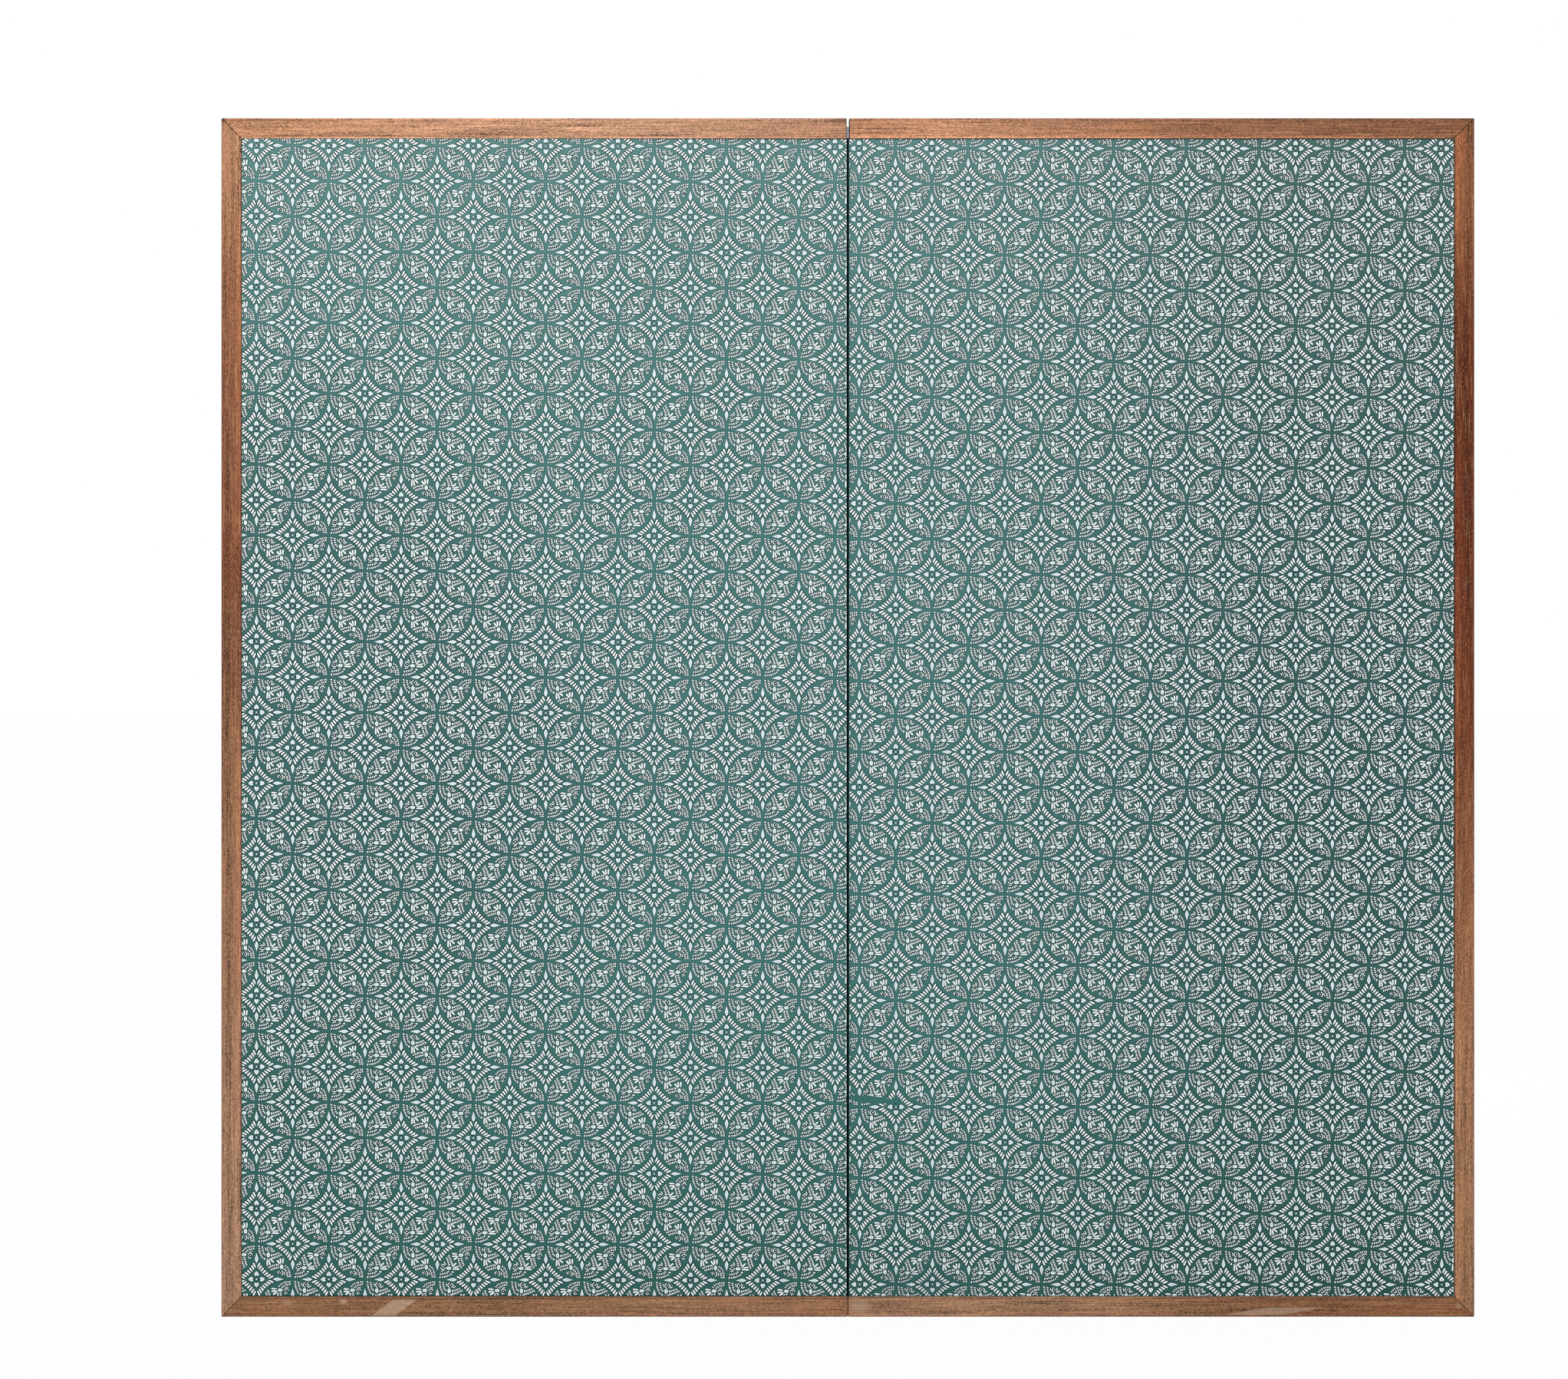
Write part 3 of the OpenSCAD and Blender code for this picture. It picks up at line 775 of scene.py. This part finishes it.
sparrows = {   # each dash is its middle, its slope in degrees, its length and width
    "bodies": [(-20.8, 41.65, 0, 8.0, 5.8), (-41.0, 19.5, 0, 8.4, 5.8)],
    "dashes": [
        (-24.4, 35.5, 30, 3.3, 2.0), (-24.4, 32.9, 10, 3.3, 2.0), (-23.5, 29.5, 30, 3.3, 2.0),
        (-22.9, 26.6, 35, 3.3, 2.0), (-21.5, 23.7, 40, 3.3, 2.0), (-20.3, 20.8, 50, 3.3, 2.0),
        (-20.1, 36.2, 20, 3.6, 1.9), (-19.4, 33.1, 22, 3.6, 1.9), (-18.4, 30.2, 25, 3.6, 1.9),
        (-17.7, 27.3, 27, 3.6, 1.9), (-16.5, 24.4, 40, 3.6, 1.9),
        (-22.5, 48.0, -25, 3.3, 1.8), (-20.3, 50.7, -35, 3.3, 1.8), (-17.6, 52.8, -40, 3.3, 1.8),
        (-14.0, 54.1, -50, 3.3, 1.8), (-11.1, 55.0, -62, 3.3, 1.8), (-7.6, 55.4, -62, 3.3, 1.8),
        (-4.4, 55.8, -60, 3.3, 1.8),
        (-17.1, 46.3, -45, 3.6, 1.9), (-14.7, 48.5, -50, 3.6, 1.9), (-11.3, 50.4, -65, 3.6, 1.9),
        (-8.2, 50.9, -65, 3.6, 1.9), (-4.8, 51.9, -80, 3.6, 1.9),
        (-44.4, 36.7, 60, 3.2, 1.9), (-43.2, 33.8, 40, 3.2, 1.9), (-42.3, 31.1, 35, 3.2, 1.9),
        (-41.3, 28.2, 15, 3.2, 1.9), (-40.6, 25.1, 5, 4.2, 2.2),
        (-41.1, 40.5, 50, 4.0, 2.0), (-39.8, 37.2, 50, 4.0, 2.0), (-38.2, 34.0, 40, 4.0, 2.0),
        (-37.0, 30.7, 38, 4.0, 2.0), (-35.8, 27.8, 0, 2.6, 2.6), (-35.7, 25.4, 0, 2.7, 2.1),
        (-41.7, 13.8, -35, 3.5, 2.0), (-44.0, 11.6, -50, 3.5, 2.0), (-47.6, 10.7, -65, 3.5, 2.0),
        (-51.0, 9.9, -75, 3.5, 2.0), (-54.5, 9.5, 90, 3.5, 2.0),
        (-34.6, 13.0, -5, 3.9, 2.6), (-37.0, 9.5, -45, 3.2, 1.9), (-39.9, 7.7, -50, 3.2, 1.9),
        (-43.0, 6.5, -50, 3.2, 1.9), (-45.9, 5.4, -55, 3.2, 1.9), (-48.3, 4.75, -65, 3.2, 1.9),
        (-51.7, 4.4, -75, 3.2, 1.9), (-55.7, 4.1, 70, 3.6, 2.2),
    ],
    "feathers": [   # from the wide end to the narrow one, and the wide end's width
        (-35.6, 44.2, -26.1, 43.6, 2.8), (-35.4, 39.3, -26.6, 40.6, 2.8), (-32.4, 34.0, -25.2, 39.6, 3.3),
        (-23.0, 17.8, -35.4, 17.9, 2.8), (-23.9, 22.4, -34.2, 20.3, 2.7), (-28.5, 28.5, -35.7, 21.4, 2.9)],
    "lines": [   # start, end and width
        (-12.6, 46.0, -6.8, 46.8, 1.2), (-14.2, 38.9, -11.4, 36.0, 1.2), (-8.3, 36.9, -11.4, 36.0, 1.2),
        (-11.4, 36.0, -13.2, 34.4, 1.2),
        (-54.0, 23.3, -50.4, 26.9, 1.5), (-50.6, 26.9, -46.8, 23.6, 1.5), (-45.9, 25.5, -49.0, 30.8, 1.6),
        (-54.4, 14.3, -48.2, 15.9, 1.3)],
    "eyes": [(-10.4, 40.1, 1.9), (-50.7, 21.8, 2.2)],
    "eyeBleed": 0.9,   # extra dye pooled round an eye
    "brows": [(-10.4, 40.3, 3.8, 0), (-50.5, 21.6, 4.1, 180)],   # crescents: middle, radius, turn
}


def joinAll(marks, name):
    clearChoice()
    for number, mark in enumerate(marks):   # marks that overlap never lie in one plane
        mark.location.y = -(number % inkSteps) * inkStep
        mark.select_set(True)
    bpy.context.view_layer.objects.active = marks[0]
    bpy.ops.object.join()
    whole = bpy.context.object
    whole.name = name
    bpy.ops.object.transform_apply(location=True, rotation=True, scale=True)
    return whole


def turnedCopies(piece, copies, angle):   # spins copies about the star, as seen from the back
    nowEditing(piece)
    bpy.ops.mesh.select_all(action="SELECT")
    bpy.ops.mesh.spin(steps=copies, dupli=True, angle=angle, center=(0, 0, 0), axis=(0, -1, 0))
    doneEditing()


def drawMotif(name, grow, fine, inks):   # one star, the two lenses that belong to it, and its neighbour
    small = brushMark("smallDash", 8 if fine else 6, 1.1, 1.1, inks)
    full = brushMark("fullDash", 8 if fine else 6, 1, 1, inks)
    ray = brushMark("ray", 8, 1.7, 0.5, inks)
    feather = brushMark("feather", 8, 1.7, 0.6, inks)
    body = roundMark("body", 10 if fine else 8, 0, inks)
    petalShape = petalMark("petal", grow, petal["notch"] if fine else 0.2, inks)
    kiteShape = kiteMark("kite", grow, inks)
    if fine:
        inkCentre(petalShape, petal["middle"], 0.56)
        inkCentre(kiteShape, kite["middle"] + 1, 0.56)
    quarter = [lay(petalShape, (0, 0)), lay(kiteShape, (0, 0))]
    for number in range(star["rayCount"]):
        k = number - (star["rayCount"] - 1) / 2
        outer = math.radians(45 + star["rayOuterStep"] * k)
        inner = math.radians(45 + star["rayInnerStep"] * k)
        start = (-halfRepeat + star["rayOuter"] * math.cos(outer),
                 halfRepeat - star["rayOuter"] * math.sin(outer))
        end = (-halfRepeat + star["rayInner"] * math.cos(inner),
               halfRepeat - star["rayInner"] * math.sin(inner))
        wide = star["rayWide"] + (0 if fine else star["rayBleed"])
        quarter.append(layBetween(ray, start, end, wide, grow))
    quarter = joinAll(quarter, "starQuarter")
    turnedCopies(quarter, 3, 1.5 * math.pi)

    lens = []
    for x, z, turn, long, wide in sparrows["bodies"]:
        bodyCopy = lay(body, (0, 0), (long + 2 * grow, wide + 2 * grow))
        clearChoice()
        bodyCopy.select_set(True)
        bpy.context.view_layer.objects.active = bodyCopy
        bpy.ops.object.transform_apply(location=False, rotation=False, scale=True)
        if fine:
            inkCentre(bodyCopy, 0, 0.52)
        bodyCopy.location = (x * unit, 0, z * unit)
        lens.append(bodyCopy)
    for x, z, turn, long, wide in sparrows["dashes"]:
        lens.append(lay(small, (x, z), (long + 2 * grow, wide + 2 * grow), turn))
    for x, z, farX, farZ, wide in sparrows["feathers"]:
        lens.append(layBetween(feather, (x, z), (farX, farZ), wide, grow))
    for x, z, farX, farZ, wide in sparrows["lines"]:
        lens.append(layBetween(small, (x, z), (farX, farZ), wide, grow))
    for x, z, size in sparrows["eyes"]:
        size = size if fine else size + 2 * sparrows["eyeBleed"]
        lens.append(lay(full, (x, z), (size + 2 * grow, size + 2 * grow)))
    for x, z, radius, turn in sparrows["brows"]:
        crescent = crescentMark("brow", radius, 1.3 + 2 * grow, inks)
        lens.append(lay(crescent, (x, z), turn=turn))
        bpy.data.objects.remove(crescent)
    lens = joinAll(lens, "lens")
    turnedCopies(lens, 1, math.pi / 2)

    dot = lay(full, (0, 0), (star["dot"] + 2 * grow, star["dot"] + 2 * grow))
    motif = joinAll([quarter, lens, dot], name)
    nowEditing(motif)
    bpy.ops.mesh.select_all(action="SELECT")
    bpy.ops.mesh.duplicate_move(TRANSFORM_OT_translate={"value": (halfRepeat * unit, 0, halfRepeat * unit)})
    doneEditing()
    for shape in (small, full, ray, feather, body, petalShape, kiteShape):
        bpy.data.objects.remove(shape)
    print(name, "drawn with", len(motif.data.polygons), "marks' faces")
    return motif


inkMotif = drawMotif("inkMotif", 0.0, True, [whiteInk, paleInk])
poolMotif = drawMotif("poolMotif", 0.95, False, [pooledDye])

sheets = {   # a star's place on each sheet, the repeat and how far it strays, and the sheet's bounds
    "left": {"star": (-0.8540, 1.6908), "repeat": (0.104425, 0.102289), "stray": (-0.00024, -0.00001),
             "x": (-0.8748, -0.0021), "cuts": (0.0296, 0.8650, 1.7004), "body": "left_panel"},
    "right": {"star": (0.0687, 1.6352), "repeat": (0.105055, 0.102486), "stray": (-0.00004, -0.000057),
              "x": (0.0051, 0.8748), "cuts": (0.0296, 0.8650, 1.7004), "body": "right_panel"},
    "turnover": {"star": (0.0687, 1.6352), "repeat": (0.105055, 0.102486), "stray": (-0.00004, -0.000057),
                 "x": (0.0024, 0.0051), "cuts": (0.0296, 1.7004), "body": "right_panel"},
}
inkLift = {"pool": 0.00003, "ink": 0.00008}   # how far the marks stand off the paper
paperFace = -0.0090


def cutAt(obj, spot, normal):   # keeps what lies on the far side of the cut
    bpy.ops.mesh.select_all(action="SELECT")
    bpy.ops.mesh.bisect(plane_co=spot, plane_no=normal, clear_inner=True)


def printOn(sheetName, sheet, layer, motif, lift):
    wide, tall = sheet["repeat"]
    (x0, x1), cuts = sheet["x"], sheet["cuts"]
    acrossStray, upStray = sheet["stray"]
    for band in range(len(cuts) - 1):
        z0, z1 = cuts[band], cuts[band + 1]
        copy = motif.copy()
        copy.data = motif.data.copy()
        copy.name = f"{sheetName}_{layer}_{band + 1}"
        bpy.context.scene.collection.objects.link(copy)
        firstColumn = math.floor((x0 - sheet["star"][0]) / wide) - 1
        firstRow = math.floor((z0 - sheet["star"][1]) / tall) - 1
        columns = math.ceil((x1 - x0) / wide) + 3
        rows = math.ceil((z1 - z0) / tall) + 3
        copy.scale = (wide / motifSize, 1, tall / motifSize)
        copy.location = (sheet["star"][0] + firstColumn * wide + firstRow * upStray, paperFace - lift,
                         sheet["star"][1] + firstRow * tall + firstColumn * acrossStray)
        clearChoice()
        copy.select_set(True)
        bpy.context.view_layer.objects.active = copy
        bpy.ops.object.transform_apply(location=True, rotation=True, scale=True)
        for count, step in ((columns, (wide, 0, acrossStray)), (rows, (upStray, 0, tall))):
            row = copy.modifiers.new("repeat", "ARRAY")
            row.count = count
            row.use_relative_offset = False
            row.use_constant_offset = True
            row.constant_offset_displace = step
            bpy.ops.object.modifier_apply(modifier=row.name)
        bpy.ops.object.mode_set(mode="EDIT")
        cutAt(copy, (x0, 0, 0), (1, 0, 0))
        cutAt(copy, (x1, 0, 0), (-1, 0, 0))
        cutAt(copy, (0, 0, z0), (0, 0, 1))
        cutAt(copy, (0, 0, z1), (0, 0, -1))
        doneEditing()
        layFlat(copy, x0, x1, z0, z1)
        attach(copy, sheet["body"])


def layFlat(obj, x0, x1, z0, z1):   # the sheet's own map, laid out as the sheet is
    sheetMap = obj.data.uv_layers.new(name="OFBake")
    for corner in obj.data.loops:
        point = obj.data.vertices[corner.vertex_index].co
        sheetMap.data[corner.index].uv = ((point.x - x0) / (x1 - x0), (point.z - z0) / (z1 - z0))


for sheetName, sheet in sheets.items():
    printOn(sheetName, sheet, "pool", poolMotif, inkLift["pool"])
    printOn(sheetName, sheet, "ink", inkMotif, inkLift["ink"])
bpy.data.objects.remove(inkMotif)
bpy.data.objects.remove(poolMotif)
print("print laid on the sheets")


def addTail(strip, low, high, spot, wide, thick, turn, finish):
    clearChoice()
    bpy.ops.mesh.primitive_plane_add(size=1, location=(*spot, (low + high) / 2),
                                     rotation=(math.pi / 2, 0, turn))
    piece = bpy.context.object
    piece.scale = (wide, high - low, 1)
    bpy.ops.object.transform_apply(location=True, rotation=True, scale=True)
    wall = piece.modifiers.new("thickness", "SOLIDIFY")
    wall.thickness = thick
    wall.offset = 0
    bpy.ops.object.modifier_apply(modifier=wall.name)
    piece.data.materials.append(finish)
    strip.select_set(True)
    bpy.context.view_layer.objects.active = strip
    bpy.ops.object.join()


def makeHingeStrip(number):   # one paper from a panel's back corner across the gap to the other's front
    low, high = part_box(f"hinge_strip_{number}")
    bottom = low[2] - hingeStrips["endGap"] + hingeStrips["apart"] / 2
    top = high[2] + hingeStrips["endGap"] - hingeStrips["apart"] / 2
    middle, tall = (bottom + top) / 2, top - bottom
    side = 1 if number % 2 else -1      # the panel whose edge it lies on at the back
    reach = side * (hingeStrips["panelGap"] / 2 - hingeStrips["clear"] - hingeStrips["thick"] / 2)
    back, straight = hingeStrips["backEnd"], hingeStrips["alongEdge"]
    clearChoice()
    bpy.ops.mesh.primitive_plane_add(size=1, location=(reach, back + straight / 2, middle),
                                     rotation=(math.pi / 2, 0, math.pi / 2))
    strip = bpy.context.object
    strip.name = f"hinge_paper_{number}"
    strip.scale = (straight, tall, 1)
    bpy.ops.object.transform_apply(location=True, rotation=True, scale=True)
    nowEditing(strip)
    bpy.ops.mesh.select_all(action="DESELECT")
    doneEditing()
    for point in strip.data.vertices:
        point.select = point.co.y > back + straight / 2
    bpy.ops.object.mode_set(mode="EDIT")
    crossing = -2 * (back + straight) / hingeStrips["bends"]
    for bend in range(hingeStrips["bends"]):
        before, after = (math.cos(math.pi * (bend + k) / hingeStrips["bends"]) for k in (0, 1))
        bpy.ops.mesh.extrude_region_move(
            TRANSFORM_OT_translate={"value": (reach * (after - before), crossing, 0)})
    bpy.ops.mesh.extrude_region_move(TRANSFORM_OT_translate={"value": (0, straight, 0)})
    strip.data.materials.append(hingeFinish)
    doneEditing()
    wall = strip.modifiers.new("thickness", "SOLIDIFY")
    wall.thickness = hingeStrips["thick"]
    wall.offset = 0
    bpy.ops.object.modifier_apply(modifier=wall.name)
    bpy.ops.object.shade_smooth_by_angle(angle=math.radians(hingeStrips["smoothUnder"]))
    for end, tail in hingeStrips["tails"]:
        if end == number:
            addTail(strip, **tail)
    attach(strip, "odd_strips" if number % 2 else "even_strips")
    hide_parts(f"hinge_strip_{number}")


for number in range(1, 7):
    makeHingeStrip(number)
print("hinge papers made")
